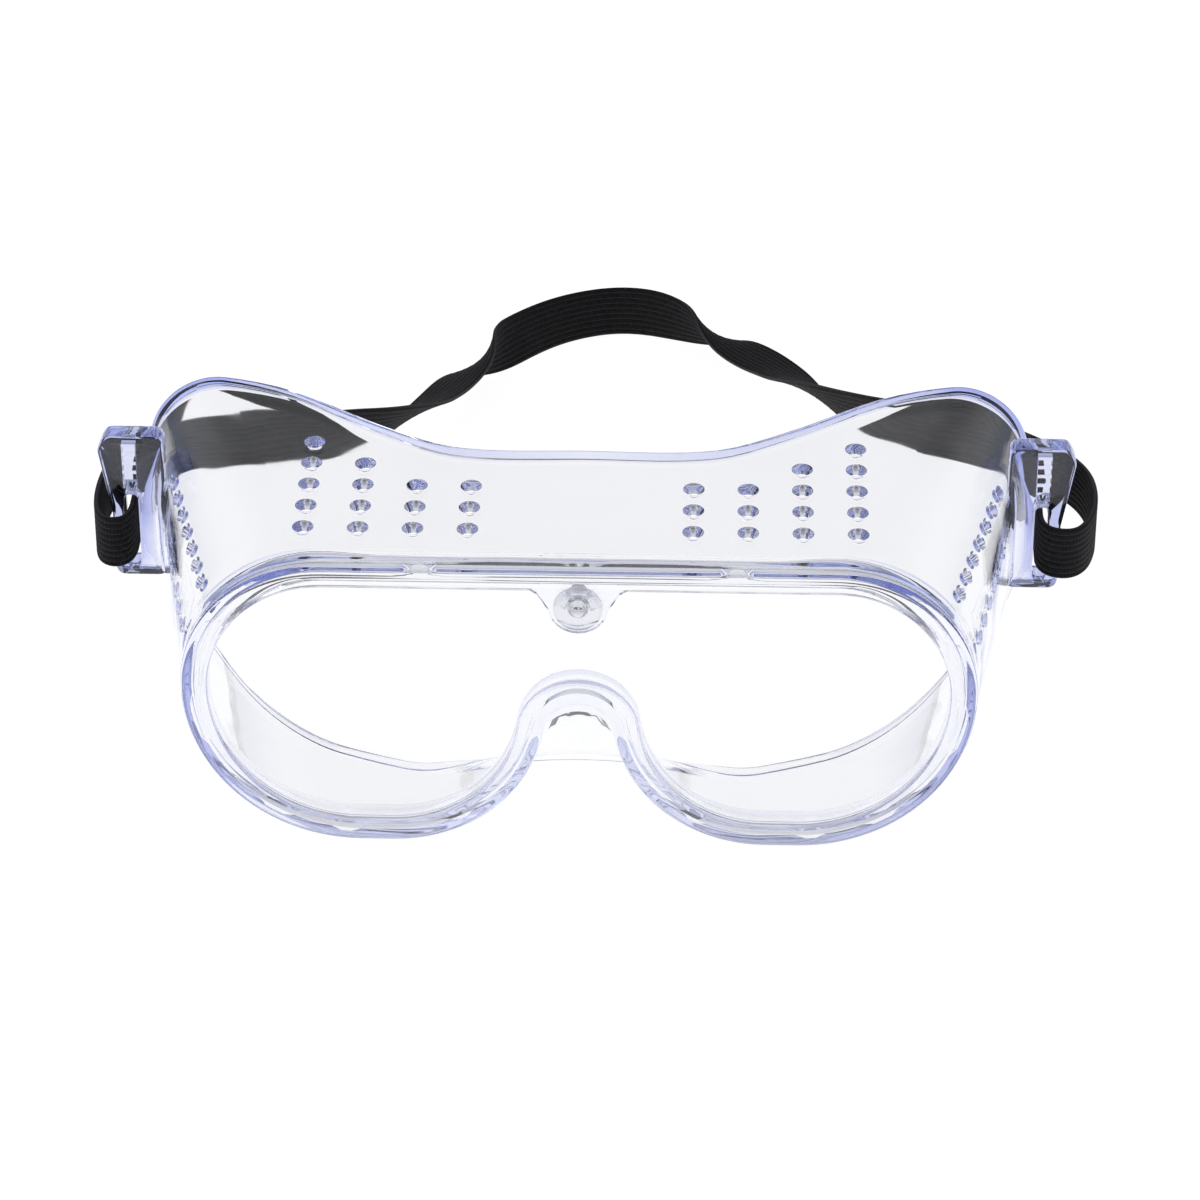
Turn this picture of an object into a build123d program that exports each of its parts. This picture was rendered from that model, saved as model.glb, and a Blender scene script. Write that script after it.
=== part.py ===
from build123d import *
from math import radians, tan
import os

# Safety goggles with a one-piece clear body, a flat lens held in a groove and by one rivet,
# and a ribbed elastic headband looped round a bar on each side.
# Millimetres. X runs from the left lug to the right lug, Y from the lens back to the face, Z up.
# The goggles stand on the two lobes of the lens rim and on the cheek edges, at Z = 0.
# The lens lies in a vertical plane, and X = 0 is the plane of symmetry.
# Depths are measured back from the front of the rim, and the origin is under the middle of them.

os.makedirs("parts", exist_ok=True)

# ---------------------------------------------------------------- driving dimensions

# lens rim, seen from the front
rim_half_width = 72.0
rim_height = 58.0
rim_corner_radius = 26.0
rim_depth = 6.0
rim_lip_width = 5.0
front_lip_thickness = 1.6

# nose notch in the rim, and the nose chute behind it
nose_height = 29.6
nose_flank_radius = 28.0
nose_flank_spread = 34.0
nose_rear_height = 4.0
nose_rear_depth = 22.0

# lens
lens_thickness = 2.0
lens_edge_inset = 2.0
lens_clearance = 0.1

# body walls, measured in the section at the temples
wall = 1.8
wall_step = 1.0
temple_depth = 62.0
temple_half_width = 83.5
temple_height = 64.5
temple_corner_radius = 14.0
temple_foot_radius = 32.0

# line where the body meets the face, seen from above: depth at the brow and at the cheeks
brow_depth = 39.0
cheek_depth = 23.0

# vents
vent_diameter = 2.8
vent_sink_diameter = 3.8
vent_pitch = 6.7
vent_first_row = 13.0
vent_column_pitch = 9.9
vent_first_column = 20.3
vent_counts = [3, 3, 4, 5]
side_vent_diameter = 2.4
side_vent_pitch = 5.1
side_vent_first = 10.0
side_vent_count = 7
side_vent_heights = [39.5, 48.5]
side_vent_rise = 0.13

# rivet at the middle of the top lip
rivet_drop = 8.0
rivet_head_diameter = 8.8
rivet_head_height = 1.5
rivet_dome_rise = 0.42
rivet_shank_diameter = 3.5
rivet_socket_diameter = 2.2
rivet_socket_depth = 3.0
rivet_running_clearance = 0.05
washer_diameter = 5.6
washer_thickness = 1.0
rivet_tail = 0.8
tab_radius = 5.4
tab_shoulder = 8.0

# strap lugs
lug_front = 44.0
lug_thickness = 5.0
lug_top = 60.0
lug_bottom = 30.5
lug_root_width = 5.2
lug_reach = 11.5
lug_chamfer = 2.0
lug_shoulder = 3.0
arm_drop = 4.0
recess_rim = 1.5
slot_width = 2.6
slot_top = 47.6
bar_width = 2.3
shelf_thickness = 2.4
crossbar_thickness = 1.5
knurl_pitch = 1.6
knurl_depth = 0.5

# headband
band_width = 10.5
band_thickness = 1.25

# ---------------------------------------------------------------- worked-out sizes

lobe_radius = rim_height - rim_corner_radius
rivet_height = rim_height - rivet_drop
groove_front = front_lip_thickness
groove_width = lens_thickness + 2 * lens_clearance
lens_front = groove_front + lens_clearance
groove_inset = lens_edge_inset - lens_clearance
washer_front = lens_front + lens_thickness + lens_clearance
rivet_end = washer_front + washer_thickness + rivet_tail
rivet_hole_radius = rivet_shank_diameter / 2 + rivet_running_clearance
head_seat = 0.05
front_y = -(temple_depth - head_seat - rivet_head_height) / 2
cut_through = 200.0
cut_margin = 6.0


def at_depth(front, rear, depth):
    """A wall size at some depth, between its values at the lens and at the temples."""
    return front + (rear - front) * depth / temple_depth


def wall_half_width(depth):
    return at_depth(rim_half_width - wall_step, temple_half_width, depth)


def wall_height(depth):
    return at_depth(rim_height - wall_step, temple_height, depth)


def upright(depth):
    """The vertical plane at a depth, drawn on as X to the right and Z up."""
    return Plane(origin=(0, front_y + depth, 0), x_dir=(1, 0, 0), z_dir=(0, -1, 0))


def arch_radius(height):
    """Radius of the arch that meets both flanks of the nose notch smoothly at this height."""
    drop = nose_flank_radius - height
    return (nose_flank_spread ** 2 + drop ** 2 - nose_flank_radius ** 2) / (2 * height)


def nose_curve(height, grow):
    """Points of one side of the notch: foot of the flank, its middle, meeting point, arch top."""
    radius = arch_radius(height)
    centre = Vector(0, height - radius)
    flank = Vector(nose_flank_spread, nose_flank_radius)
    along = (flank - centre).normalized()
    meeting = centre + along * (radius + grow)
    foot = flank - Vector(0, nose_flank_radius - grow)
    middle_way = ((foot - flank).normalized() + (meeting - flank).normalized()).normalized()
    middle = flank + middle_way * (nose_flank_radius - grow)
    top = centre + Vector(0, radius + grow)
    return foot, middle, meeting, top


def mirrored(point):
    return Vector(-point.X, point.Y)


def rim_outline(inset):
    """The rim seen from the front, with its nose notch, drawn this far inside its outer edge."""
    side = rim_half_width - inset
    top = rim_height - inset
    corner = rim_corner_radius - inset
    lobe = lobe_radius - inset
    corner_start = rim_half_width - rim_corner_radius
    lobe_start = rim_half_width - lobe_radius
    foot, middle, meeting, arch_top = nose_curve(nose_height, inset)
    with BuildLine() as outline:
        Line((-corner_start, top), (corner_start, top))
        RadiusArc((corner_start, top), (side, top - corner), corner)
        RadiusArc((side, lobe_radius), (lobe_start, inset), lobe)
        Line((lobe_start, inset), foot)
        ThreePointArc(foot, middle, meeting)
        ThreePointArc(meeting, arch_top, mirrored(meeting))
        ThreePointArc(mirrored(meeting), mirrored(middle), mirrored(foot))
        Line(mirrored(foot), (-lobe_start, inset))
        RadiusArc((-lobe_start, inset), (-side, lobe_radius), lobe)
        RadiusArc((-side, top - corner), (-corner_start, top), corner)
    return outline.line


def wall_outline(depth, inset):
    """The body walls cut across at a depth, without the nose chute."""
    side = wall_half_width(depth) - inset
    top = wall_height(depth) - inset
    corner = at_depth(rim_corner_radius - wall_step, temple_corner_radius, depth) - inset
    foot = at_depth(lobe_radius - 2 * wall_step, temple_foot_radius, depth) - inset
    with BuildLine() as outline:
        Line((corner - side, top), (side - corner, top))
        RadiusArc((side - corner, top), (side, top - corner), corner)
        Line((side, top - corner), (side, inset + foot))
        RadiusArc((side, inset + foot), (side - foot, inset), foot)
        Line((side - foot, inset), (foot - side, inset))
        RadiusArc((foot - side, inset), (-side, inset + foot), foot)
        Line((-side, inset + foot), (-side, top - corner))
        RadiusArc((-side, top - corner), (corner - side, top), corner)
    return outline.line


def chute_outline(height, grow, floor):
    """The nose chute cut across where it is this high, closed below at the floor."""
    foot, middle, meeting, arch_top = nose_curve(height, grow)
    with BuildLine() as outline:
        Line((foot.X, floor), foot)
        ThreePointArc(foot, middle, meeting)
        ThreePointArc(meeting, arch_top, mirrored(meeting))
        ThreePointArc(mirrored(meeting), mirrored(middle), mirrored(foot))
        Line(mirrored(foot), (-foot.X, floor))
        Line((-foot.X, floor), (foot.X, floor))
    return outline.line


def face_line(points, back):
    """The line where the body meets the face, seen from above, closed behind the head."""
    right = [Vector(x, front_y + depth) for x, depth in points]
    left = [mirrored(point) for point in reversed(right[1:])]
    end = points[-1][0]
    with BuildLine() as outline:
        Spline(*left, *right)
        Line(right[-1], (end, back))
        Line((end, back), (-end, back))
        Line((-end, back), left[0])
    return outline.line


# ---------------------------------------------------------------- solids the body is made from

# the outside of the walls, from the lens to past the temples
wall_end = temple_depth + cut_margin
with BuildPart() as outer_hull:
    with BuildSketch(upright(0)):
        make_face(wall_outline(0, 0))
    with BuildSketch(upright(wall_end)):
        make_face(wall_outline(wall_end, 0))
    loft(ruled=True)

# the hollow inside them, starting at the back of the rim
hollow_end = wall_end + cut_margin
with BuildPart() as hollow:
    with BuildSketch(upright(rim_depth)):
        make_face(wall_outline(rim_depth, wall))
    with BuildSketch(upright(hollow_end)):
        make_face(wall_outline(hollow_end, wall))
    loft(ruled=True)

# the nose chute falls from the notch in the rim to the low edge on the face
with BuildPart() as chute_wall:
    with BuildSketch(upright(0)):
        make_face(chute_outline(nose_height, wall, 0))
    with BuildSketch(upright(nose_rear_depth)):
        make_face(chute_outline(nose_rear_height, wall, 0))
    loft(ruled=True)
    add(outer_hull.part, mode=Mode.INTERSECT)

with BuildPart() as chute_space:
    with BuildSketch(upright(0)):
        make_face(chute_outline(nose_height, 0, -cut_margin))
    with BuildSketch(upright(nose_rear_depth)):
        make_face(chute_outline(nose_rear_height, 0, -cut_margin))
    loft(ruled=True)

# the face: a ruled solid between the cheek line below and the brow line above
head_back = temple_depth + 7 * cut_margin
head_side = temple_half_width + cut_margin
cheek_points = [
    (0, nose_rear_depth - 1),
    (18, cheek_depth),
    (34, cheek_depth + 2),
    (50, cheek_depth + 9.5),
    (64, cheek_depth + 18.5),
    (74, temple_depth - 11),
    (head_side, temple_depth + 4),
]
brow_points = [
    (0, brow_depth),
    (24, brow_depth + 0.5),
    (38, brow_depth + 7),
    (56, temple_depth - 5),
    (72, temple_depth - 0.5),
    (head_side, temple_depth),
]
with BuildPart() as head:
    with BuildSketch(Plane.XY):
        make_face(face_line(cheek_points, head_back))
    with BuildSketch(Plane.XY.offset(temple_height)):
        make_face(face_line(brow_points, head_back))
    loft(ruled=True)
    extrude(head.faces().sort_by(Axis.Z)[-1], amount=cut_margin)
    extrude(head.faces().sort_by(Axis.Z)[0], amount=cut_margin)

# one strap lug: a root against the wall, a slot for the band with its bar outside, and above
# them an arm that holds the bar, with a knurled recess in it
root = wall_half_width(lug_front) - wall / 2
slot_in = root + lug_root_width
slot_out = slot_in + slot_width
slot_middle = (slot_in + slot_out) / 2
slot_bottom = lug_bottom + shelf_thickness
bar_out = slot_out + bar_width
arm_out = wall_half_width(lug_front) + lug_reach
recess_bottom = slot_top + crossbar_thickness
recess_height = lug_top - recess_rim - recess_bottom
recess_floor = front_y + lug_front + lug_thickness / 2
with BuildPart() as lug:
    with BuildSketch(upright(lug_front)):
        with BuildLine():
            Polyline(
                (root, lug_bottom),
                (bar_out, lug_bottom),
                (bar_out, slot_top - arm_drop),
                (arm_out, lug_top - lug_shoulder),
                (arm_out - lug_chamfer, lug_top),
                (root + lug_chamfer, lug_top),
                (root, slot_top),
                close=True,
            )
        make_face()
        with Locations((slot_middle, (slot_top + slot_bottom) / 2)):
            Rectangle(slot_width, slot_top - slot_bottom, mode=Mode.SUBTRACT)
    extrude(amount=-lug_thickness)
    with BuildSketch(upright(lug_front)):
        with Locations((slot_middle, recess_bottom + recess_height / 2)):
            Rectangle(slot_width, recess_height)
    extrude(amount=-lug_thickness / 2, mode=Mode.SUBTRACT)
    for tooth in range(int(recess_height / knurl_pitch)):
        tooth_height = recess_bottom + knurl_pitch * (tooth + 0.5)
        with Locations((slot_middle, recess_floor, tooth_height)):
            Box(slot_width, 2 * knurl_depth, knurl_pitch / 2)

# ---------------------------------------------------------------- frame_body

with BuildPart() as frame_body:
    # walls, trimmed to the face
    add(outer_hull.part)
    add(hollow.part, mode=Mode.SUBTRACT)
    add(chute_wall.part)
    add(head.part, mode=Mode.SUBTRACT)

    # rim with its lips
    with BuildSketch(upright(0)):
        make_face(rim_outline(0))
    extrude(amount=-rim_depth)
    add(chute_space.part, mode=Mode.SUBTRACT)
    with BuildSketch(upright(0)):
        make_face(rim_outline(rim_lip_width))
    extrude(amount=-rim_depth, mode=Mode.SUBTRACT)

    # tab that carries the rivet, part of the front lip
    with BuildSketch(upright(0)):
        with Locations((0, rivet_height)):
            Circle(tab_radius)
        with BuildLine():
            Polyline(
                (-tab_shoulder, rim_height - rim_lip_width),
                (-tab_radius, rivet_height),
                (tab_radius, rivet_height),
                (tab_shoulder, rim_height - rim_lip_width),
                close=True,
            )
        make_face()
        with Locations((0, rivet_height)):
            Circle(rivet_hole_radius, mode=Mode.SUBTRACT)
    extrude(amount=-front_lip_thickness)

    # groove that holds the lens
    with BuildSketch(upright(groove_front)):
        make_face(rim_outline(groove_inset))
    extrude(amount=-groove_width, mode=Mode.SUBTRACT)

    # vents in the top wall, in columns that get longer towards the temples
    for column, count in enumerate(vent_counts):
        for row in range(count):
            depth = vent_first_row + vent_pitch * row
            across = vent_first_column + vent_column_pitch * column
            mouth = Vector(across, front_y + depth, wall_height(depth))
            with Locations(mouth, Vector(-mouth.X, mouth.Y, mouth.Z)):
                CounterSinkHole(vent_diameter / 2, vent_sink_diameter / 2, depth=3 * wall)

    # vents through the side walls, two rows on each side
    for low in side_vent_heights:
        for number in range(side_vent_count):
            depth = side_vent_first + side_vent_pitch * number
            height = low + side_vent_rise * (depth - side_vent_first)
            with Locations(Location((0, front_y + depth, height), (0, 90, 0))):
                Cylinder(side_vent_diameter / 2, cut_through, mode=Mode.SUBTRACT)

    # strap lugs
    add(lug.part)
    mirror(lug.part, about=Plane.YZ)

# ---------------------------------------------------------------- lens

with BuildPart() as lens:
    with BuildSketch(upright(lens_front)):
        make_face(rim_outline(lens_edge_inset))
        with Locations((0, rivet_height)):
            Circle(rivet_hole_radius, mode=Mode.SUBTRACT)
    extrude(amount=-lens_thickness)

# ---------------------------------------------------------------- rivet and its washer

head_radius = rivet_head_diameter / 2
shank_radius = rivet_shank_diameter / 2
socket_radius = rivet_socket_diameter / 2
head_top = -head_seat - rivet_head_height
head_edge = -head_seat - rivet_head_height / 4
# drawn with the radius across and the depth upward, on the plane through the rivet's axis
rivet_plane = Plane(origin=(0, front_y, rivet_height), x_dir=(1, 0, 0), z_dir=(0, 0, 1))
with BuildPart() as lens_rivet:
    with BuildSketch(rivet_plane):
        with BuildLine():
            Polyline(
                (socket_radius, head_top),
                (socket_radius, rivet_socket_depth),
                (0, rivet_socket_depth),
                (0, rivet_end),
                (shank_radius, rivet_end),
                (shank_radius, -head_seat),
                (head_radius, -head_seat),
                (head_radius, head_edge),
            )
            SagittaArc((head_radius, head_edge), (socket_radius, head_top), rivet_dome_rise)
        make_face()
    revolve(axis=Axis(rivet_plane.origin, (0, 1, 0)))

with BuildPart() as rivet_washer:
    with BuildSketch(upright(washer_front)):
        with Locations((0, rivet_height)):
            Circle(washer_diameter / 2)
            Circle(rivet_hole_radius, mode=Mode.SUBTRACT)
    extrude(amount=-washer_thickness)

# ---------------------------------------------------------------- headband

# The band stands on edge. Its middle line starts at the sewn-back tail inside the right
# temple, comes forward through the slot, turns round the bar, goes back outside the temple,
# sinks to the surface behind the goggles, crosses there and ends at the left in the same way.
band_rest = band_width / 2 + 0.15
band_high = 40.6
band_route = [
    (84.5, 56.0, 36.6),
    (86.3, 49.0, 38.6),
    (86.0, 36.0, 40.4),
    (85.3, 21.8, band_high),
    (85.0, 10.1, band_high),
    (92.6, 8.7, band_high),
    (96.4, 20.8, band_high),
    (95.4, 35.3, band_high),
    (87.5, 51.8, 37.6),
    (79.0, 68.0, 32.5),
    (68.0, 88.0, 25.0),
    (57.5, 108.0, 17.5),
    (47.5, 128.0, 11.5),
    (39.5, 148.5, 7.5),
    (29.0, 163.5, band_rest + 0.6),
    (18.5, 178.0, band_rest),
    (5.0, 184.5, band_rest),
    (-9.5, 179.5, band_rest),
    (-21.5, 167.0, band_rest),
    (-30.0, 149.5, band_rest + 0.8),
    (-36.0, 130.0, 8.8),
    (-42.5, 110.5, 13.5),
    (-54.5, 93.0, 19.5),
    (-69.0, 75.5, 27.0),
    (-80.5, 61.0, 33.0),
    (-88.0, 48.5, 37.5),
    (-91.8, 33.5, band_high),
    (-92.8, 19.5, band_high),
    (-91.0, 8.2, band_high),
    (-85.1, 8.7, band_high),
    (-85.3, 21.8, band_high),
    (-85.6, 35.0, 40.4),
    (-85.9, 46.0, 38.6),
    (-82.3, 54.0, 35.9),
]


def corner_radii(route):
    """Each corner's arc, as large as the shorter of its two runs allows."""
    radii = []
    for before, here, after in zip(route, route[1:], route[2:]):
        run_in = Vector(*here) - Vector(*before)
        run_out = Vector(*after) - Vector(*here)
        turn = run_in.get_angle(run_out)
        shorter = min(run_in.length, run_out.length)
        radii.append(0.45 * shorter / tan(radians(turn / 2)))
    return radii


band_radii = corner_radii(band_route)
with BuildPart() as headband:
    with BuildLine() as band_line:
        FilletPolyline(*band_route, radius=band_radii)
    band_path = band_line.wires()[0]
    start_plane = Plane(origin=band_path @ 0, x_dir=(0, 0, 1), z_dir=band_path % 0)
    with BuildSketch(start_plane):
        Rectangle(band_width, band_thickness)
    sweep(path=band_path)

print("band corner radii:", [round(radius, 1) for radius in band_radii])
print("band length:", round(band_path.length, 1))
section_volume = band_width * band_thickness * band_path.length
print("band volume:", round(headband.part.volume, 1), "section times length:", round(section_volume, 1))

# ---------------------------------------------------------------- write the pieces

frame_body.part.label = "frame_body"
export_step(frame_body.part, "parts/frame_body.step")

lens.part.label = "lens"
export_step(lens.part, "parts/lens.step")

lens_rivet.part.label = "lens_rivet"
export_step(lens_rivet.part, "parts/lens_rivet.step")

rivet_washer.part.label = "rivet_washer"
export_step(rivet_washer.part, "parts/rivet_washer.step")

headband.part.label = "headband"
export_step(headband.part, "parts/headband.step")
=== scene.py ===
"""The looks of the safety goggles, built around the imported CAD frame.

Shapes are worked out in millimetres and turned into metres when a mesh is made. X runs to the right
of a front view, Y back to the face, Z up, and a depth is measured back from the front of the rim.
"""
import math

import bmesh
import bpy
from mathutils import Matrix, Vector


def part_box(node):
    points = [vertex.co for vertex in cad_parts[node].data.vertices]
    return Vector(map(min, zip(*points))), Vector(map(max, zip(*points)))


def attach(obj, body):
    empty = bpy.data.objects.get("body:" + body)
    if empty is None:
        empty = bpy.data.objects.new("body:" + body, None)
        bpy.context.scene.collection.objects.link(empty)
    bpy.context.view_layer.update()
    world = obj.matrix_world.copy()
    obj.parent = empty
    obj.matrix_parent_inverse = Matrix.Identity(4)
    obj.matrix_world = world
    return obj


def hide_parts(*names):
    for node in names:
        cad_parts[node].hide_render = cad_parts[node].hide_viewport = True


MM = 0.001
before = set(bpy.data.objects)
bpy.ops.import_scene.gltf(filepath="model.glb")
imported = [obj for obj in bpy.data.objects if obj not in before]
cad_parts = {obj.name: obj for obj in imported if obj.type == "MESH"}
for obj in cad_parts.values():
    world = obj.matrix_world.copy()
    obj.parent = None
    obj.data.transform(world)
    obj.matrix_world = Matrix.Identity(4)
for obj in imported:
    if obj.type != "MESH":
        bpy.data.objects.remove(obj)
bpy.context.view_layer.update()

# ---------------------------------------------------------------- sizes, in millimetres

body_low, body_high = (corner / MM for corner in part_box("frame_body"))
_, lens_high = (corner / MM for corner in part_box("lens"))
rivet_low, rivet_high = (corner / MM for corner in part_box("lens_rivet"))

FRONT_Y = body_low.y
LENS_INSET = 2.0
RIM_HALF_WIDTH = lens_high.x + LENS_INSET
RIM_HEIGHT = lens_high.z + LENS_INSET
RIM_CORNER_RADIUS = 26.0
LOBE_RADIUS = RIM_HEIGHT - RIM_CORNER_RADIUS
RIM_DEPTH = 6.0
LIP_WIDTH = 5.0
LIP_THICKNESS = 1.6
GROOVE_INSET = 1.9
GROOVE_BACK = 3.8
POCKET_DROP = 0.75

WALL = 1.8
WALL_STEP = 1.0
WALL_START = 6.5
WALL_ROWS = 12
TEMPLE_DEPTH = body_high.y - body_low.y
TEMPLE_HALF_WIDTH = 83.5
TEMPLE_HEIGHT = body_high.z
TEMPLE_CORNER_RADIUS = 14.0
TEMPLE_FOOT_RADIUS = 32.0
EAR_EASE = 1.5
BEAD_RADIUS = 1.15
BEAD_PROUD = 0.55
BEAD_RUN_IN = 0.8
BEAD_ARC = (-60, 215)
BEAD_STEPS = 10

NOSE_HEIGHT = 29.6
NOSE_FLANK = Vector((34.0, 28.0))
NOSE_REAR_HEIGHT = 4.0
NOSE_REAR_DEPTH = 22.0

# the line where the body meets the face, as (distance from the middle, depth)
CHEEK_LINE = [
    (0, 21), (14, 21.6), (26, 23.6), (38, 27.5), (50, 33), (64, 41.5), (74, 51), (89.5, 66),
]
BROW_LINE = [(0, 39), (24, 39.5), (38, 46), (56, 57), (72, 61.5), (89.5, 62)]

TOP_VENT_COUNTS = [3, 3, 4, 5]
TOP_VENT_COLUMN = 20.3
TOP_VENT_COLUMN_PITCH = 9.9
TOP_VENT_ROW = 13.0
TOP_VENT_ROW_PITCH = 6.7
# radius of a vent, and how far outside the wall, from its inner end outwards
TOP_VENT_PROFILE = [(1.35, -4.0), (1.35, -0.95), (1.45, -0.7), (1.95, -0.1), (2.2, 1.2)]
SIDE_VENT_PROFILE = [(1.5, -3.2), (1.15, -1.5), (1.15, -0.6), (1.55, 0.05), (1.9, 1.2)]
SIDE_VENT_HEIGHTS = [39.5, 48.5]
SIDE_VENT_COUNT = 7
SIDE_VENT_FIRST = 10.0
SIDE_VENT_PITCH = 5.1
SIDE_VENT_RISE = 0.13

RIVET_HEIGHT = (rivet_low.z + rivet_high.z) / 2
RIVET_HOLE_RADIUS = 1.8
TAB_RADIUS = 5.4
TAB_SHOULDER = 8.0
TAB_SHOULDER_EASE = 1.5
TAB_SHOULDER_DROP = 1.2
TAB_FOOT_EASE = 0.5
TAB_OVERLAP = 0.8
TAB_ARC = (188, 352)
TAB_EDGE = 0.3
TAB_PROUD = 0.02

LUG_FRONT = 44.0
LUG_THICKNESS = 5.0
LUG_TOP = 60.0
LUG_BOTTOM = 30.5
LUG_ROOT_WIDTH = 5.2
LUG_SUNK = 0.9
LUG_CORNER_RADIUS = 2.2
LUG_EDGE = 0.55
LUG_ARM_CHAMFER = (1.4, 3)
LUG_SHOULDER_DROP = 4
SLOT_WIDTH = 2.6
SLOT_TOP = 47.6
SLOT_CORNER_RADIUS = 1.2
BAR_WIDTH = 2.3
SHELF = 2.4
CROSSBAR = 1.5
RECESS_ROOF = 1.5
KNURL_PITCH = 1.6
KNURL_DEPTHS = (2.5, 1.9)
KNURL_EASE = 0.1
CUTTER_START = -1.0

BAND_WIDTH = 10.5
BAND_THICKNESS = 1.25
BAND_RIBS = 9
POINTS_PER_RIB = 6
RIB_DEPTH = 0.22
RIB_FULLNESS = 0.6
SELVEDGE_SHARE = 0.55
POINT_SPACING = 0.4


def mix(first, second, share):
    return first + (second - first) * share


def smoothstep(low, high, value):
    share = min(1.0, max(0.0, (value - low) / (high - low)))
    return share * share * (3 - 2 * share)


def along_table(table, value):
    """A smooth curve through (place, value) pairs, read at a place (Catmull-Rom between pairs)."""
    last = len(table) - 1
    index = 0
    while index < last - 1 and value > table[index + 1][0]:
        index += 1
    (x1, y1), (x2, y2) = table[index], table[index + 1]
    before = table[max(index - 1, 0)]
    after = table[min(index + 2, last)]
    slope_1 = (y2 - before[1]) / max(x2 - before[0], 1e-6) if index else 0.0
    slope_2 = (after[1] - y1) / max(after[0] - x1, 1e-6)
    run = x2 - x1
    t = min(1.0, max(0.0, (value - x1) / run))
    return (
        (2 * t ** 3 - 3 * t ** 2 + 1) * y1
        + (t ** 3 - 2 * t ** 2 + t) * run * slope_1
        + (3 * t ** 2 - 2 * t ** 3) * y2
        + (t ** 3 - t ** 2) * run * slope_2
    )


def to_world(across, depth, height):
    return Vector((across, FRONT_Y + depth, height)) * MM


# ---------------------------------------------------------------- materials

def new_material(name):
    material = bpy.data.materials.new(name)
    material.use_nodes = True
    nodes = material.node_tree.nodes
    return material, nodes, material.node_tree.links, nodes["Principled BSDF"]


def noise(nodes, links, scale, detail, coordinates):
    texture = nodes.new("ShaderNodeTexNoise")
    texture.inputs["Scale"].default_value = scale
    texture.inputs["Detail"].default_value = detail
    links.new(coordinates, texture.inputs["Vector"])
    return texture


def map_range(nodes, links, value, low, high, start=0.3, end=0.7):
    node = nodes.new("ShaderNodeMapRange")
    node.inputs["From Min"].default_value = start
    node.inputs["From Max"].default_value = end
    node.inputs["To Min"].default_value = low
    node.inputs["To Max"].default_value = high
    links.new(value, node.inputs["Value"])
    return node.outputs["Result"]


def add_bump(nodes, links, shader, height, strength, distance):
    bump = nodes.new("ShaderNodeBump")
    bump.inputs["Strength"].default_value = strength
    bump.inputs["Distance"].default_value = distance
    links.new(height, bump.inputs["Height"])
    links.new(bump.outputs["Normal"], shader.inputs["Normal"])


# a painted edge light level of 0, given to the top and corner walls, takes the slightly grey
# painted shade below, and CLEAR_GLOW leaves the plastic clear with nothing painted
PAINTED_WALL_SHADE = (0.945, 0.947, 0.951, 1)
CLEAR_GLOW = 0.03
# the lugs and the rivet tab take this much painted violet-blue edge light all over
LUG_GLOW = 0.6
TAB_GLOW = 0.1


def clear_plastic(
    name, ior, roughness, absorbed, density, waviness, wave_scale, painted_edge_colour=None
):
    """Clear moulded plastic: uneven gloss, slow waves left by the mould, and some colour absorbed
    where it is thick. Edges take a painted violet-blue that stands in for the light thick clear
    edges gather and bend, as far as the mesh's painted edge light attribute says; where that is 0
    the base colour is a slightly grey painted shade."""
    material, nodes, links, shader = new_material(name)
    shader.inputs["Base Color"].default_value = (0.985, 0.985, 0.99, 1)
    if painted_edge_colour:
        # painted light: a ramp from a grey painted shade through clear white to the painted
        # violet-blue edge light
        glow = nodes.new("ShaderNodeAttribute")
        glow.attribute_name = "painted_edge_light"
        edge_light_ramp = nodes.new("ShaderNodeValToRGB")
        edge_light_ramp.color_ramp.elements[0].color = PAINTED_WALL_SHADE
        edge_light_ramp.color_ramp.elements[1].color = (*painted_edge_colour, 1)
        edge_light_ramp.color_ramp.elements.new(CLEAR_GLOW).color = (1, 1, 1, 1)
        links.new(glow.outputs["Fac"], edge_light_ramp.inputs["Fac"])
        links.new(edge_light_ramp.outputs["Color"], shader.inputs["Base Color"])
    shader.inputs["Transmission Weight"].default_value = 1.0
    shader.inputs["IOR"].default_value = ior
    place = nodes.new("ShaderNodeTexCoord").outputs["Object"]
    gloss = noise(nodes, links, 90, 3, place)
    links.new(
        map_range(nodes, links, gloss.outputs["Fac"], roughness[0], roughness[1]),
        shader.inputs["Roughness"],
    )
    waves = noise(nodes, links, wave_scale, 1, place)
    add_bump(nodes, links, shader, waves.outputs["Fac"], 1.0, waviness)
    volume = nodes.new("ShaderNodeVolumeAbsorption")
    volume.inputs["Color"].default_value = (*absorbed, 1)
    volume.inputs["Density"].default_value = density
    links.new(volume.outputs["Volume"], nodes["Material Output"].inputs["Volume"])
    return material


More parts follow.
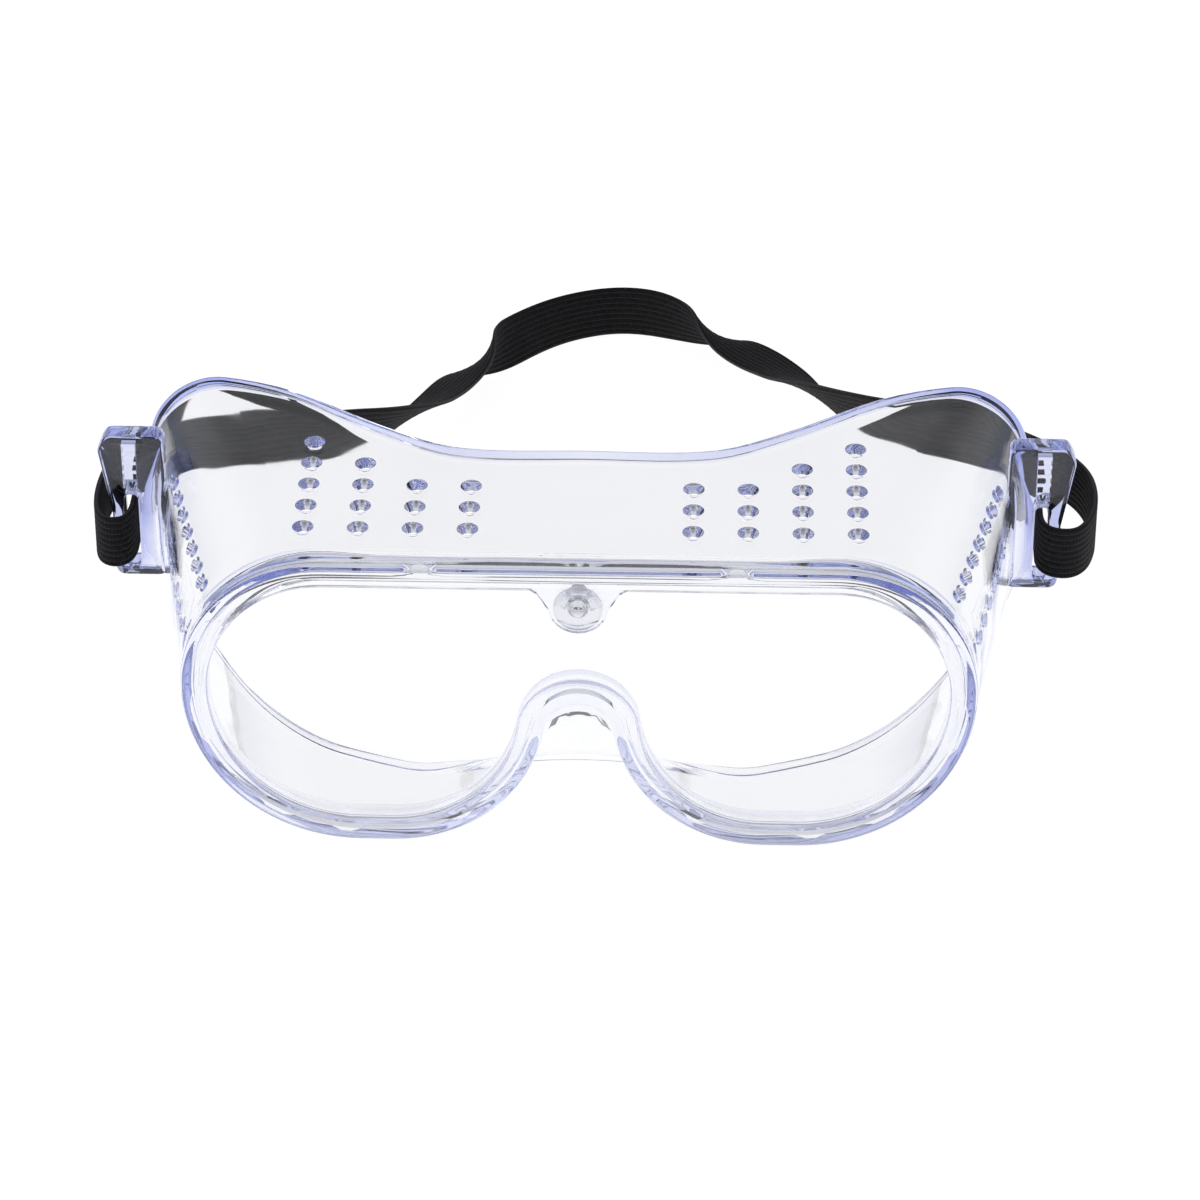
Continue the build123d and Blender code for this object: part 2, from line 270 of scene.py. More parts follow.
def elastic_webbing():
    """Black ribbed elastic: UV x runs along the band in millimetres, UV y counts its ribs."""
    material, nodes, links, shader = new_material("elastic_webbing")
    threads = nodes.new("ShaderNodeUVMap").outputs["UV"]
    split = nodes.new("ShaderNodeSeparateXYZ")
    links.new(threads, split.inputs["Vector"])
    weft = nodes.new("ShaderNodeTexWave")
    weft.bands_direction = "X"
    weft.inputs["Scale"].default_value = 0.55
    weft.inputs["Distortion"].default_value = 1.2
    weft.inputs["Detail"].default_value = 1.0
    links.new(threads, weft.inputs["Vector"])
    place = nodes.new("ShaderNodeTexCoord").outputs["Object"]
    lint = noise(nodes, links, 900, 3, place)
    patches = noise(nodes, links, 60, 2, place)
    tone = nodes.new("ShaderNodeValToRGB")
    tone.color_ramp.elements[0].position = 0.3
    tone.color_ramp.elements[0].color = (0.003, 0.003, 0.0035, 1)
    tone.color_ramp.elements[1].position = 0.8
    tone.color_ramp.elements[1].color = (0.011, 0.011, 0.012, 1)
    links.new(lint.outputs["Fac"], tone.inputs["Fac"])
    between_ribs = nodes.new("ShaderNodeMath")
    between_ribs.operation = "PINGPONG"
    between_ribs.inputs[1].default_value = 0.5
    links.new(split.outputs["Y"], between_ribs.inputs[0])
    cord_lines = nodes.new("ShaderNodeMix")
    cord_lines.data_type = "RGBA"
    cord_lines.inputs["B"].default_value = (0.045, 0.046, 0.050, 1)
    links.new(tone.outputs["Color"], cord_lines.inputs["A"])
    links.new(
        map_range(nodes, links, between_ribs.outputs["Value"], 0.8, 0.0, 0.02, 0.13),
        cord_lines.inputs["Factor"],
    )
    links.new(cord_lines.outputs["Result"], shader.inputs["Base Color"])
    links.new(
        map_range(nodes, links, patches.outputs["Fac"], 0.72, 0.9), shader.inputs["Roughness"]
    )
    shader.inputs["Specular IOR Level"].default_value = 0.22
    shader.inputs["Sheen Weight"].default_value = 0.04
    shader.inputs["Sheen Roughness"].default_value = 0.4
    add_bump(nodes, links, shader, weft.outputs["Fac"], 0.7, 0.00012)
    return material


VIOLET_BLUE = (0.46, 0.52, 0.86)
# the body's base colour carries the painted violet-blue edge light, (0.30, 0.36, 0.80) at full
# strength
soft_clear = clear_plastic(
    "soft_clear_plastic", ior=1.5, roughness=(0.012, 0.05), absorbed=VIOLET_BLUE, density=26,
    waviness=0.00028, wave_scale=55, painted_edge_colour=(0.30, 0.36, 0.80),
)
# the sides of the vents are the same plastic, less polished
vent_clear = clear_plastic(
    "soft_clear_plastic_cut", ior=1.5, roughness=(0.03, 0.08), absorbed=VIOLET_BLUE, density=9,
    waviness=0.0001, wave_scale=300,
)
vent_shader = vent_clear.node_tree.nodes["Principled BSDF"]
vent_shader.inputs["Base Color"].default_value = (0.97, 0.975, 1.0, 1)
lens_clear = clear_plastic(
    "lens_plastic", ior=1.4, roughness=(0.0, 0.01), absorbed=(0.80, 0.86, 0.84), density=6,
    waviness=0.00002, wave_scale=20,
)
rivet_clear = clear_plastic(
    "rivet_plastic", ior=1.5, roughness=(0.08, 0.24), absorbed=(0.62, 0.64, 0.70), density=90,
    waviness=0.0001, wave_scale=200,
)
webbing = elastic_webbing()


# ---------------------------------------------------------------- mesh helpers

def link_object(name, data):
    made = bpy.data.objects.new(name, data)
    bpy.context.scene.collection.objects.link(made)
    return made


def add_object(name, vertices, faces, material):
    mesh = bpy.data.meshes.new(name)
    mesh.from_pydata(vertices, [], faces)
    mesh.materials.append(material)
    return link_object(name, mesh)


def ring_faces(rings, rows, closed=False):
    """Quads between rings of points that follow each other, the last ring meeting the first if
    closed."""
    faces = []
    for ring in range(rings if closed else rings - 1):
        following = (ring + 1) % rings
        for row in range(rows):
            below = (row + 1) % rows
            faces.append((
                ring * rows + row,
                ring * rows + below,
                following * rows + below,
                following * rows + row,
            ))
    return faces


def set_painted_edge_light(piece, levels):
    """Stores how much painted edge light each vertex takes; levels is one number or a list."""
    count = len(piece.data.vertices)
    layer = piece.data.attributes.new("painted_edge_light", "FLOAT", "POINT")
    layer.data.foreach_set("value", levels if isinstance(levels, list) else [levels] * count)


def outward(piece, weld_within=None):
    """Turns the faces outwards, after joining points that lie this near each other, in metres."""
    shape = bmesh.new()
    shape.from_mesh(piece.data)
    if weld_within:
        bmesh.ops.remove_doubles(shape, verts=shape.verts, dist=weld_within)
    bmesh.ops.recalc_face_normals(shape, faces=shape.faces)
    shape.to_mesh(piece.data)
    shape.free()


def apply_modifiers(piece):
    bpy.context.view_layer.update()
    depsgraph = bpy.context.evaluated_depsgraph_get()
    mesh = bpy.data.meshes.new_from_object(piece.evaluated_get(depsgraph), depsgraph=depsgraph)
    piece.modifiers.clear()
    piece.data = mesh


def combine(piece, others, operation):
    """Joins the others into piece, or cuts them from it, and deletes them."""
    for other in others:
        change = piece.modifiers.new(operation, "BOOLEAN")
        change.object = other
        change.operation = operation
        change.solver = "MANIFOLD"
        change.material_mode = "TRANSFER"
    apply_modifiers(piece)
    for other in others:
        bpy.data.objects.remove(other)


def smooth_by_angle(piece, degrees):
    piece.data.polygons.foreach_set("use_smooth", [True] * len(piece.data.polygons))
    piece.data.set_sharp_from_angle(angle=math.radians(degrees))


def plate(name, outlines, front, thickness, edge, material, glow):
    """A flat moulding in a vertical plane: closed outlines of (across, height) in millimetres, the
    inner ones holes, from a front depth back, with its edges rounded."""
    curve = bpy.data.curves.new(name, "CURVE")
    curve.dimensions = "2D"
    curve.fill_mode = "BOTH"
    curve.extrude = (thickness / 2 - edge) * MM
    curve.bevel_depth = edge * MM
    curve.bevel_resolution = 2
    curve.offset = -edge * MM
    for outline in outlines:
        spline = curve.splines.new("POLY")
        spline.points.add(len(outline) - 1)
        for point, (across, height) in zip(spline.points, outline):
            point.co = (across * MM, height * MM, 0, 1)
        spline.use_cyclic_u = True
    flat = link_object(name, curve)
    bpy.context.view_layer.update()
    mesh = bpy.data.meshes.new_from_object(flat)
    bpy.data.objects.remove(flat)
    middle = front + thickness / 2
    for vertex in mesh.vertices:
        across, height, out = vertex.co
        vertex.co = Vector((across, (FRONT_Y + middle) * MM - out, height))
    mesh.materials.clear()
    mesh.materials.append(material)
    made = link_object(name, mesh)
    outward(made, weld_within=1e-6)
    set_painted_edge_light(made, glow)
    return made


def rounded(outline, radius, steps=5):
    """An outline with each corner turned into an arc."""
    result = []
    count = len(outline)
    for index in range(count):
        here = Vector(outline[index])
        before = Vector(outline[index - 1]) - here
        after = Vector(outline[(index + 1) % count]) - here
        turn = before.angle(after)
        reach = min(radius / math.tan(turn / 2), 0.45 * before.length, 0.45 * after.length)
        start = here + before.normalized() * reach
        end = here + after.normalized() * reach
        for step in range(steps + 1):
            share = step / steps
            bend = start.lerp(here, share).lerp(here.lerp(end, share), share)
            result.append((bend.x, bend.y))
    return result


# ---------------------------------------------------------------- the clear body

def stations():
    """Places round the right half of the rim, from the middle of the top to the nose arch."""
    segments = [
        ("top", 22), ("corner", 22), ("side", 5), ("lobe", 26), ("floor", 3), ("flank", 24),
        ("arch", 9),
    ]
    places = [(part, step / count) for part, count in segments for step in range(count)]
    return places + [("arch", 1.0)]


def rim_section(depth):
    """Half width, height, corner radius and lobe radius of the outside at a depth."""
    rim = (RIM_HALF_WIDTH, RIM_HEIGHT, RIM_CORNER_RADIUS, LOBE_RADIUS)
    share = depth / TEMPLE_DEPTH
    hull = (
        mix(RIM_HALF_WIDTH - WALL_STEP, TEMPLE_HALF_WIDTH, share),
        mix(RIM_HEIGHT - WALL_STEP, TEMPLE_HEIGHT, share),
        mix(RIM_CORNER_RADIUS - WALL_STEP, TEMPLE_CORNER_RADIUS, share),
        mix(LOBE_RADIUS - 2 * WALL_STEP, TEMPLE_FOOT_RADIUS, share),
    )
    blend = smoothstep(RIM_DEPTH - 1.0, RIM_DEPTH + 0.2, depth)
    return [mix(a, b, blend) for a, b in zip(rim, hull)]


def nose_height(depth):
    return mix(NOSE_HEIGHT, NOSE_REAR_HEIGHT, min(1.0, depth / NOSE_REAR_DEPTH))


def nose_point(part, share, height, inset):
    """A point of the nose notch or chute where its arch is this high."""
    spread, flank_radius = NOSE_FLANK
    radius = (spread ** 2 + (flank_radius - height) ** 2 - flank_radius ** 2) / (2 * height)
    centre = Vector((0, height - radius))
    lean = math.atan2(NOSE_FLANK.y - centre.y, NOSE_FLANK.x)
    if part == "flank":
        angle = mix(-math.pi / 2, lean - math.pi, share)
        reach = flank_radius - inset
        return NOSE_FLANK + reach * Vector((math.cos(angle), math.sin(angle)))
    angle = mix(lean, math.pi / 2, share)
    return centre + (radius + inset) * Vector((math.cos(angle), math.sin(angle)))


def outline_point(station, depth, inset, height=None):
    """(across, height) of a station at a depth, this far inside the outside."""
    part, share = station
    if part in ("flank", "arch"):
        return nose_point(part, share, nose_height(depth) if height is None else height, inset)
    side, top, corner, lobe = rim_section(depth)
    if part == "top":
        return Vector(((side - corner) * share, top - inset))
    if part == "side":
        return Vector((side - inset, mix(top - corner, lobe, share)))
    if part == "floor":
        return Vector((mix(side - lobe, NOSE_FLANK.x, share), inset))
    if part == "corner":
        angle, radius = mix(math.pi / 2, 0, share), corner
        centre = Vector((side - corner, top - corner))
    else:
        angle, radius = mix(0, -math.pi / 2, share), lobe
        centre = Vector((side - lobe, lobe))
    return centre + (radius - inset) * Vector((math.cos(angle), math.sin(angle)))


def rear_depth(station):
    """How far back the body reaches at a station, where it meets the face."""
    near, far = RIM_DEPTH + 1, TEMPLE_DEPTH + 4
    for _ in range(30):
        depth = (near + far) / 2
        across, height = outline_point(station, depth, 0)
        edge = mix(
            along_table(CHEEK_LINE, across), along_table(BROW_LINE, across), height / TEMPLE_HEIGHT
        )
        if depth < edge:
            near = depth
        else:
            far = depth
    over = max(0.0, near - TEMPLE_DEPTH + EAR_EASE)
    return near if over == 0 else TEMPLE_DEPTH - EAR_EASE + over / (1 + over / EAR_EASE)


def lip_seam(station):
    """How far the seam behind the top lip is cut: part way in the middle of the top, in full at
    the corners, and not at all below them."""
    part, share = station
    if part == "top":
        return mix(0.45, 1.0, smoothstep(0.75, 1.0, share))
    return 1.0 - smoothstep(0.60, 0.66, share) if part == "corner" else 0.0


def painted_edge_light(station, row):
    """How much of the painted violet-blue edge light a place takes."""
    part, share = station
    corner = smoothstep(0, 0.1, share) * (1 - smoothstep(0.55, 0.7, share))
    # the top and corner walls take the grey painted shade, the other walls stay clear
    if row == "wall":
        return 0.0 if part in ("top", "corner") else CLEAR_GLOW
    below = {"side": 0.04, "lobe": 0.06, "floor": 0.12, "flank": 0.14, "arch": 0.1}
    levels = {
        "lip": {
            "top": 0.04, "corner": 0.05, "side": 0.04, "lobe": 0.05,
            "floor": 0.08, "flank": 0.06, "arch": 0.08,
        },
        "side": {**below, "top": 0.04, "corner": 0.05 + 0.25 * corner},
        "seam": {**below, "top": 0.16, "corner": 0.16 + 0.84 * corner},
        "bead": {"top": 0.25 + 0.4 * share, "corner": 0.85, "side": 0.5, "lobe": 0.15},
    }
    return levels.get(row, {}).get(part, CLEAR_GLOW)


def bead_stand(station):
    """How far the rolled rear edge stands out: nothing where the body rests on its cheeks."""
    part, share = station
    if part in ("floor", "flank", "arch"):
        return 0.0
    return BEAD_PROUD * (1 - smoothstep(0.2, 0.9, share)) if part == "lobe" else BEAD_PROUD


# pockets under the lens's edge, between the blocks it rests on: a part of the outline, and the
# shares of the way along it where the pocket starts and ends
LENS_POCKETS = [
    ("lobe", 0.06, 0.25), ("lobe", 0.60, 0.70), ("lobe", 0.90, 0.98),
    ("flank", 0.30, 0.40), ("top", 0.55, 0.68),
]


def pocket_depth(station):
    """How far the groove's floor drops at a station."""
    for part, start, end in LENS_POCKETS:
        if station[0] == part and start <= station[1] <= end:
            return POCKET_DROP
    return 0.0


def body_profile(rear, seam, proud, pocket):
    """One turn round the body's section, as (depth, inset, belongs to the rim, kind of row)."""
    rim_front = [
        (1.1, 5.0), (0.55, 4.93), (0.15, 4.6), (0.0, 4.1), (0.0, 3.3), (0.08, 2.6),
        (0.08, 1.6), (0.0, 1.0), (0.06, 0.55), (0.25, 0.25), (0.6, 0.06), (1.0, 0.0),
    ]
    behind_lip = [
        (1.7, 0.0, "side"), (2.1, 0.12, "seam"), (2.3, 0.45, "seam"), (2.4, 1.25, "seam"),
        (2.65, 1.4, "seam"), (2.95, 1.25, "seam"), (3.1, 0.2, "seam"), (3.3, -0.45, "side"),
        (3.8, -0.8, "side"), (4.6, -0.8, "side"), (5.2, -0.5, "side"), (5.7, -0.1, "side"),
        (6.1, 0.0, "wall"), (WALL_START, 0.0, "wall"),
    ]
    rim_back = [
        (6.05, 1.95), (5.95, 2.6), (5.9, 4.2), (5.75, 4.7), (5.4, 4.95), (4.6, 5.0), (4.1, 4.9),
        (3.85, 4.6), (GROOVE_BACK, 3.6), (GROOVE_BACK, 2.2), (3.65, 1.95 - pocket),
        (3.2, GROOVE_INSET - pocket), (2.2, GROOVE_INSET - pocket), (1.75, 1.95 - pocket),
        (LIP_THICKNESS, 2.2), (LIP_THICKNESS, 3.6), (1.58, 4.6), (1.45, 4.9),
    ]
    profile = [(depth, inset, True, "lip" if inset < 1.2 else "face") for depth, inset in rim_front]
    profile += [(depth, inset * seam, False, row) for depth, inset, row in behind_lip]
    bead_front = rear - 2 * BEAD_RADIUS - BEAD_RUN_IN
    for row in range(1, WALL_ROWS + 1):
        depth = mix(WALL_START, bead_front, row / WALL_ROWS)
        profile.append((depth, 0.0, False, "wall"))
    for step in range(BEAD_STEPS + 1):
        angle = math.radians(mix(*BEAD_ARC, step / BEAD_STEPS))
        depth = rear - BEAD_RADIUS + BEAD_RADIUS * math.sin(angle)
        inset = BEAD_RADIUS - proud - BEAD_RADIUS * math.cos(angle)
        profile.append((depth, inset, False, "bead"))
    for row in range(WALL_ROWS + 1):
        depth = mix(bead_front, WALL_START + 0.1, row / WALL_ROWS)
        profile.append((depth, WALL, False, "wall"))
    return profile + [(depth, inset, True, "back") for depth, inset in rim_back]


def body_mesh():
    half = stations()
    columns = []
    glows = []
    for side, places in ((1, half), (-1, half[-2:0:-1])):
        for station in places:
            column = []
            for depth, inset, on_rim, row in body_profile(
                rear_depth(station), lip_seam(station), bead_stand(station), pocket_depth(station)
            ):
                height = NOSE_HEIGHT if on_rim else None
                across, up = outline_point(station, depth, inset, height)
                column.append(to_world(side * across, depth, max(up, 0.0)))
                # each vertex stores its level of painted edge light
                glows.append(painted_edge_light(station, row))
            columns.append(column)
    vertices = [point for column in columns for point in column]
    faces = ring_faces(len(columns), len(columns[0]), closed=True)
    body = add_object("goggle_body", vertices, faces, soft_clear)
    set_painted_edge_light(body, glows)
    outward(body)
    return body


def turned_cutter(profile, origin, direction, segments=24):
    """A closed solid of revolution for cutting; its profile is (radius, distance along)."""
    axis = Vector(direction).normalized()
    side = axis.orthogonal().normalized()
    other = axis.cross(side)
    vertices = []
    for radius, distance in profile:
        for step in range(segments):
            angle = 2 * math.pi * step / segments
            spoke = side * math.cos(angle) + other * math.sin(angle)
            vertices.append((Vector(origin) + axis * distance + spoke * radius) * MM)
    faces = [tuple(range(segments))[::-1]] + ring_faces(len(profile), segments)
    last = (len(profile) - 1) * segments
    faces.append(tuple(last + step for step in range(segments)))
    return vertices, faces


def join_shapes(name, shapes, material):
    vertices = []
    faces = []
    for points, sides in shapes:
        start = len(vertices)
        vertices += points
        faces += [tuple(start + corner for corner in side) for side in sides]
    made = add_object(name, vertices, faces, material)
    outward(made)
    return made


def vent_cutters():
    """Flared holes through the top wall, and plain ones in two rows through each side wall."""
    shapes = []
    for column, count in enumerate(TOP_VENT_COUNTS):
        for row in range(count):
            depth = TOP_VENT_ROW + TOP_VENT_ROW_PITCH * row
            across = TOP_VENT_COLUMN + TOP_VENT_COLUMN_PITCH * column
            top = rim_section(depth)[1]
            for side in (1, -1):
                origin = (side * across, FRONT_Y + depth, top)
                shapes.append(turned_cutter(TOP_VENT_PROFILE, origin, (0, 0, 1)))
    for low in SIDE_VENT_HEIGHTS:
        for number in range(SIDE_VENT_COUNT):
            depth = SIDE_VENT_FIRST + SIDE_VENT_PITCH * number
            height = low + SIDE_VENT_RISE * (depth - SIDE_VENT_FIRST)
            half_width, top, corner, _ = rim_section(depth)
            rise = max(0.0, height - (top - corner))
            run = math.sqrt(corner ** 2 - rise ** 2)
            for side in (1, -1):
                origin = (side * (half_width - corner + run), FRONT_Y + depth, height)
                shapes.append(turned_cutter(SIDE_VENT_PROFILE, origin, (side * run, 0, rise)))
    return join_shapes("vent_cutters", shapes, vent_clear)


def lug_shapes(side):
    """One strap lug, with its slot, and the cutter for the knurled recess above it."""
    root = rim_section(LUG_FRONT)[0] - LUG_SUNK
    slot_in = root + LUG_ROOT_WIDTH
    slot_out = slot_in + SLOT_WIDTH
    bar_out = slot_out + BAR_WIDTH
    arm_out = body_high.x
    outline = [
        (root, LUG_BOTTOM),
        (bar_out, LUG_BOTTOM),
        (bar_out, SLOT_TOP - LUG_SHOULDER_DROP),
        (arm_out, LUG_TOP - LUG_ARM_CHAMFER[1]),
        (arm_out - LUG_ARM_CHAMFER[0], LUG_TOP),
        (root, LUG_TOP),
    ]
    slot_bottom = LUG_BOTTOM + SHELF
    slot = [
        (slot_in, slot_bottom), (slot_out, slot_bottom), (slot_out, SLOT_TOP), (slot_in, SLOT_TOP),
    ]
    outlines = [rounded(outline, LUG_CORNER_RADIUS), rounded(slot, SLOT_CORNER_RADIUS)]
    if side < 0:
        outlines = [[(-across, height) for across, height in line] for line in outlines]
    lug = plate("lug", outlines, LUG_FRONT, LUG_THICKNESS, LUG_EDGE, soft_clear, LUG_GLOW)
    floor = SLOT_TOP + CROSSBAR
    roof = LUG_TOP - RECESS_ROOF
    middle = (slot_in + slot_out) / 2
    teeth = int((roof - floor) / KNURL_PITCH)
    deep, shallow = KNURL_DEPTHS
    profile = [(CUTTER_START, floor), (CUTTER_START, roof)]
    for tooth in range(teeth):
        top = roof - tooth * (roof - floor) / teeth
        profile += [(deep, top - KNURL_EASE), (shallow, top - (roof - floor) / teeth / 2)]
    profile.append((deep, floor + KNURL_EASE))
    vertices = []
    for across in (middle - SLOT_WIDTH / 2, middle + SLOT_WIDTH / 2):
        for depth, height in profile:
            vertices.append(to_world(side * across, LUG_FRONT + depth, height))
    count = len(profile)
    caps = [tuple(range(count)), tuple(range(2 * count - 1, count - 1, -1))]
    recess = (vertices, caps + ring_faces(2, count))
    return lug, join_shapes("recess_cutter", [recess], soft_clear)


def round_points(radius, start, end, steps):
    """Points of an arc round the rivet, from one angle to another in degrees."""
    angles = [math.radians(mix(start, end, step / steps)) for step in range(steps + 1)]
    return [(radius * math.cos(turn), RIVET_HEIGHT + radius * math.sin(turn)) for turn in angles]


def rivet_tab():
    """The rounded tab of the front lip that the rivet goes through."""
    low = RIM_HEIGHT - LIP_WIDTH + TAB_OVERLAP
    points = [
        (-TAB_SHOULDER - TAB_SHOULDER_EASE, low),
        (-TAB_SHOULDER + TAB_FOOT_EASE, low - TAB_SHOULDER_DROP),
    ]
    points += round_points(TAB_RADIUS, *TAB_ARC, 14)
    points += [
        (TAB_SHOULDER - TAB_FOOT_EASE, low - TAB_SHOULDER_DROP),
        (TAB_SHOULDER + TAB_SHOULDER_EASE, low),
    ]
    hole = round_points(RIVET_HOLE_RADIUS, 0, 360, 24)[:-1]
    return plate("tab", [points, hole], -TAB_PROUD, LIP_THICKNESS, TAB_EDGE, soft_clear, TAB_GLOW)


def make_body():
    body = body_mesh()
    right_lug, right_recess = lug_shapes(1)
    left_lug, left_recess = lug_shapes(-1)
    combine(body, [right_lug, left_lug, rivet_tab()], "UNION")
    combine(body, [vent_cutters(), right_recess, left_recess], "DIFFERENCE")
    smooth_by_angle(body, 40)
    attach(body, "frame")
    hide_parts("frame_body")
    return body


# ---------------------------------------------------------------- headband

BAND_REST = BAND_WIDTH / 2 + 0.15
BAND_HIGH = 40.6
# across, back, up and lean of the band at each point of its route; a lean is in degrees, and turns
# the band's upper edge away from the goggles where it is above 0
BAND_ROUTE = [
    (84.5, 56.0, 36.6, 0),
    (86.3, 49.0, 38.6, 0),
    (86.0, 36.0, 40.4, 0),
    (85.3, 21.8, BAND_HIGH, 0),
    (85.0, 10.1, BAND_HIGH, 0),
    (92.6, 8.7, BAND_HIGH, 0),
    (96.4, 20.8, BAND_HIGH, 0),
    (95.4, 35.3, BAND_HIGH, 0),
    (87.5, 51.8, 37.6, 0),
    (79.0, 68.0, 32.5, 5),
    (68.0, 88.0, 25.0, 5),
    (57.5, 108.0, 17.5, -15),
    (47.5, 128.0, 11.5, -42),
    (39.5, 148.5, 7.5, -84),
    (29.0, 163.5, BAND_REST + 0.6, -86),
    (18.5, 178.0, BAND_REST, -10),
    (5.0, 184.5, BAND_REST, 22),
    (-9.5, 179.5, BAND_REST, 30),
    (-21.5, 167.0, BAND_REST, 28),
    (-30.0, 149.5, BAND_REST + 0.8, -66),
    (-36.0, 130.0, 8.8, -72),
    (-42.5, 110.5, 13.5, -38),
    (-54.5, 93.0, 19.5, 0),
    (-69.0, 75.5, 27.0, 8),
    (-80.5, 61.0, 33.0, 5),
    (-88.0, 48.5, 37.5, 0),
    (-91.8, 33.5, BAND_HIGH, 0),
    (-92.8, 19.5, BAND_HIGH, 0),
    (-91.0, 8.2, BAND_HIGH, 0),
    (-85.1, 8.7, BAND_HIGH, 0),
    (-85.3, 21.8, BAND_HIGH, 0),
    (-85.6, 35.0, 40.4, 0),
    (-85.9, 46.0, 38.6, 0),
    (-82.3, 54.0, 35.9, 0),
]


def band_line():
    """Points of the smooth line that the band follows."""
    curve = bpy.data.curves.new("band_line", "CURVE")
    curve.dimensions = "3D"
    spline = curve.splines.new("NURBS")
    spline.points.add(len(BAND_ROUTE) - 1)
    for point, (across, back, up, _) in zip(spline.points, BAND_ROUTE):
        point.co = (across * MM, back * MM, up * MM, 1)
    spline.order_u = 3
    spline.use_endpoint_u = True
    spline.resolution_u = 14
    line = link_object("band_line", curve)
    bpy.context.view_layer.update()
    mesh = bpy.data.meshes.new_from_object(line)
    points = []
    for vertex in mesh.vertices:
        if not points or (vertex.co - points[-1]).length > POINT_SPACING * MM:
            points.append(vertex.co.copy())
    bpy.data.objects.remove(line)
    return points


def band_section():
    """The ribbed section of the band, as (across its width, through its thickness)."""
    count = BAND_RIBS * POINTS_PER_RIB
    face = []
    for step in range(count + 1):
        share = step / count
        across = mix(-BAND_WIDTH / 2, BAND_WIDTH / 2, share)
        rib = abs(math.sin(math.pi * share * BAND_RIBS)) ** RIB_FULLNESS
        edge = min(1.0, min(share, 1 - share) * count / 2)
        selvedge = SELVEDGE_SHARE + (1 - SELVEDGE_SHARE) * edge
        through = BAND_THICKNESS / 2 * selvedge - RIB_DEPTH * (1 - rib)
        face.append((across, through))
    return face + [(across, -through) for across, through in reversed(face)]


def lean_at(points):
    """The lean at each point, read from the route at the same share of the way along it, and how
    far along the line each point is."""
    route = [Vector(place[:3]) * MM for place in BAND_ROUTE]
    lengths = [0.0]
    for before, after in zip(route, route[1:]):
        lengths.append(lengths[-1] + (after - before).length)
    total = lengths[-1]
    table = [(length / total, place[3]) for length, place in zip(lengths, BAND_ROUTE)]
    travelled = [0.0]
    for before, after in zip(points, points[1:]):
        travelled.append(travelled[-1] + (after - before).length)
    return [along_table(table, way / travelled[-1]) for way in travelled], travelled


def make_headband():
    points = band_line()
    leans, travelled = lean_at(points)
    section = band_section()
    rows = len(section)
    vertices = []
    for index, point in enumerate(points):
        before = points[max(index - 1, 0)]
        after = points[min(index + 1, len(points) - 1)]
        forward = (after - before).normalized()
        through = forward.cross(Vector((0, 0, 1))).normalized()
        up = through.cross(forward).normalized()
        lean = math.radians(leans[index])
        width_way = up * math.cos(lean) + through * math.sin(lean)
        thick_way = through * math.cos(lean) - up * math.sin(lean)
        for across, thick in section:
            vertices.append(point + (width_way * across + thick_way * thick) * MM)
    last = len(points) - 1
    faces = ring_faces(len(points), rows)
    faces.append(tuple(range(rows))[::-1])
    faces.append(tuple(last * rows + row for row in range(rows)))
    band = add_object("ribbed_headband", vertices, faces, webbing)
    outward(band)
    layer = band.data.uv_layers.new(name="UVMap")
    for loop in band.data.loops:
        index, row = divmod(loop.vertex_index, rows)
        rib = (row if row < rows // 2 else row - 1) / POINTS_PER_RIB
        layer.data[loop.index].uv = (travelled[index] / MM, rib)
    smooth_by_angle(band, 50)
    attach(band, "frame")
    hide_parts("headband")
    return band


# ---------------------------------------------------------------- floor, light and camera

FLOOR_GLOW = 0.93
FLOOR_HALF_SIZE = 30.0
FLOOR_DROP = 0.0003

ROOM_HORIZON = (0.45, 0.48, 0.62, 1)
ROOM_ZENITH = (0.22, 0.22, 0.22, 1)
# tones between them, by height of the direction looked in: 0 is the horizon and 1 straight up
ROOM_TONES = [
    (0.12, (0.5, 0.54, 0.68)),
    (0.35, (0.84, 0.85, 0.90)),
    (0.55, (0.82, 0.82, 0.85)),
    (0.8, (0.18, 0.18, 0.20)),
]

CAMERA_AZIMUTH = 1.75
CAMERA_ELEVATION = 30
CAMERA_DISTANCE = 0.8
CAMERA_TARGET = (0, -0.000225, 0.030)
CAMERA_LENS = 128.67
CAMERA_SHIFT = (0.0141, 0.0175)


def make_stage():
    floor_material, _, _, shader = new_material("floor")
    shader.inputs["Base Color"].default_value = (0.25, 0.25, 0.25, 1)
    shader.inputs["Roughness"].default_value = 0.9
    shader.inputs["Specular IOR Level"].default_value = 0.0
    shader.inputs["Emission Color"].default_value = (1, 1, 1, 1)
    shader.inputs["Emission Strength"].default_value = FLOOR_GLOW
    size = FLOOR_HALF_SIZE
    corners = [(-size, -size, 0), (size, -size, 0), (size, size, 0), (-size, size, 0)]
    floor = add_object("floor", corners, [(0, 1, 2, 3)], floor_material)
    floor.location.z = -FLOOR_DROP


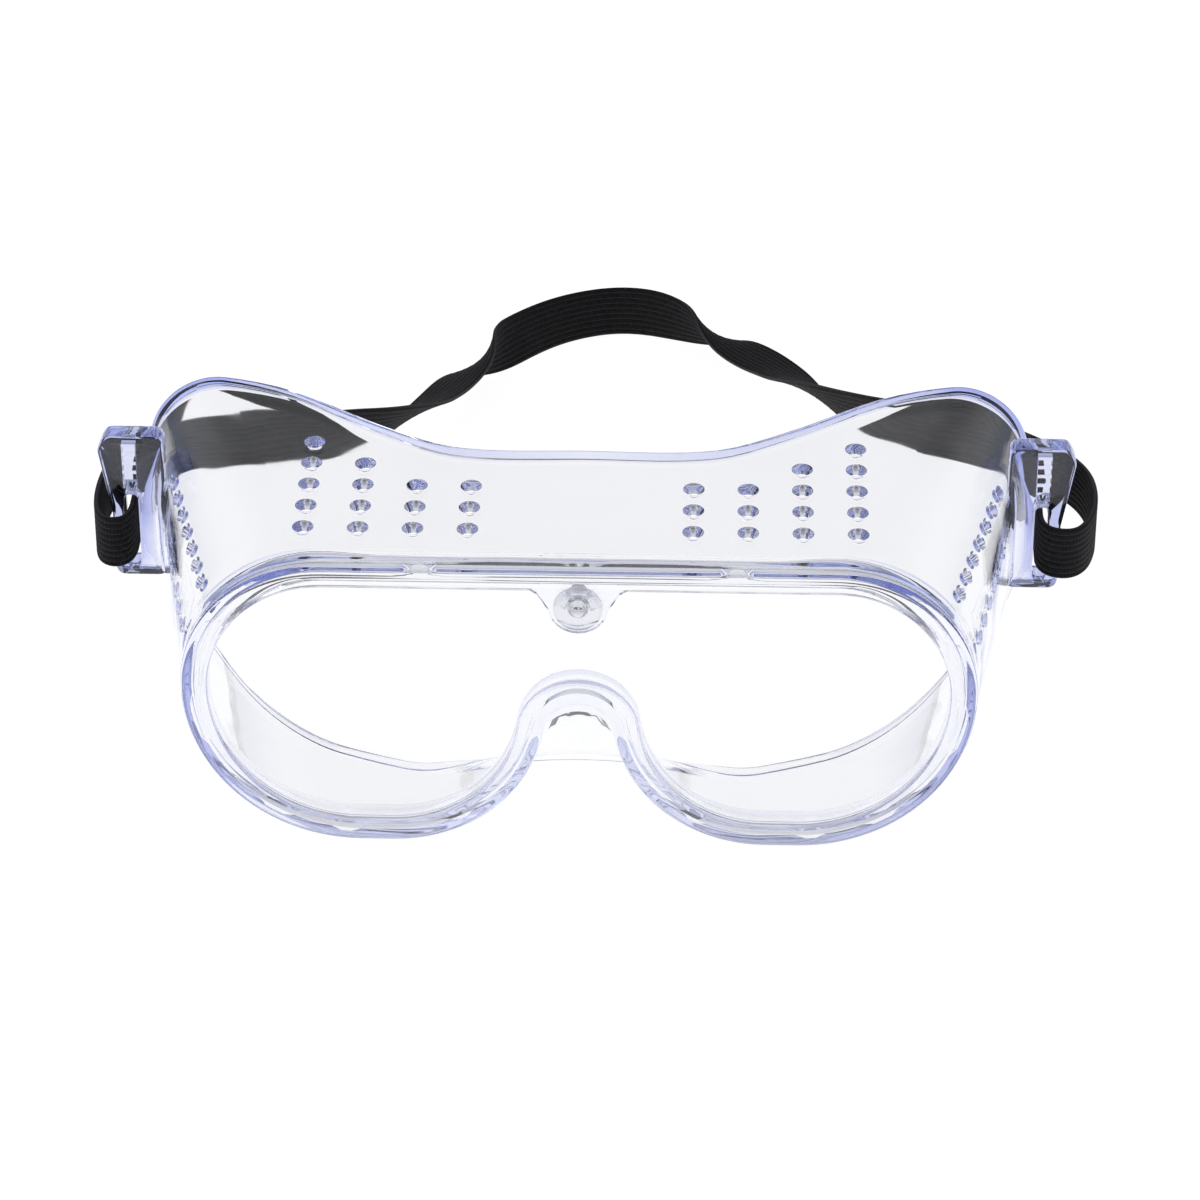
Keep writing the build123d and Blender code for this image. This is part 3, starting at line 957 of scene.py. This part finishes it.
def make_world():
    """A pale room: bright half way up, darker overhead and at the horizon, so clear edges show."""
    world = bpy.data.worlds.new("room")
    bpy.context.scene.world = world
    world.use_nodes = True
    nodes = world.node_tree.nodes
    links = world.node_tree.links
    place = nodes.new("ShaderNodeTexCoord").outputs["Generated"]
    split = nodes.new("ShaderNodeSeparateXYZ")
    links.new(place, split.inputs["Vector"])
    ramp = nodes.new("ShaderNodeValToRGB")
    ramp.color_ramp.elements[0].position = 0.0
    ramp.color_ramp.elements[0].color = ROOM_HORIZON
    ramp.color_ramp.elements[1].position = 1.0
    ramp.color_ramp.elements[1].color = ROOM_ZENITH
    for position, tone in ROOM_TONES:
        element = ramp.color_ramp.elements.new(position)
        element.color = (*tone, 1)
    links.new(split.outputs["Z"], ramp.inputs["Fac"])
    background = nodes["Background"]
    links.new(ramp.outputs["Color"], background.inputs["Color"])
    background.inputs["Strength"].default_value = 0.8


def add_area(name, location, target, size, power):
    light = bpy.data.lights.new(name, "AREA")
    light.shape = "RECTANGLE"
    light.size, light.size_y = size
    light.energy = power
    lamp = link_object(name, light)
    lamp.location = location
    lamp.rotation_euler = (Vector(target) - Vector(location)).to_track_quat("-Z", "Y").to_euler()


def make_camera():
    azimuth, elevation = math.radians(CAMERA_AZIMUTH), math.radians(CAMERA_ELEVATION)
    away = Vector((
        math.sin(azimuth) * math.cos(elevation),
        -math.cos(azimuth) * math.cos(elevation),
        math.sin(elevation),
    ))
    data = bpy.data.cameras.new("camera")
    data.sensor_width = 36
    data.lens = CAMERA_LENS
    data.shift_x, data.shift_y = CAMERA_SHIFT
    camera = link_object("camera", data)
    camera.location = Vector(CAMERA_TARGET) + away * CAMERA_DISTANCE
    camera.rotation_euler = (-away).to_track_quat("-Z", "Y").to_euler()
    bpy.context.scene.camera = camera


make_camera()
make_stage()
make_world()
add_area("overhead", (0.0, 0.15, 1.3), (0, 0.05, 0), (1.4, 1.0), 1.1)
add_area("window_left", (-1.0, -0.5, 0.9), (0, 0, 0.03), (0.5, 0.9), 2.4)

make_headband()
make_body()
node_materials = {"lens": lens_clear, "lens_rivet": rivet_clear, "rivet_washer": rivet_clear}
for node, material in node_materials.items():
    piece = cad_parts[node]
    piece.data.materials.clear()
    piece.data.materials.append(material)

scene = bpy.context.scene
scene.view_settings.view_transform = "Standard"
scene.cycles.max_bounces = 32
scene.cycles.transmission_bounces = 32
scene.cycles.glossy_bounces = 32
scene.cycles.transparent_max_bounces = 16
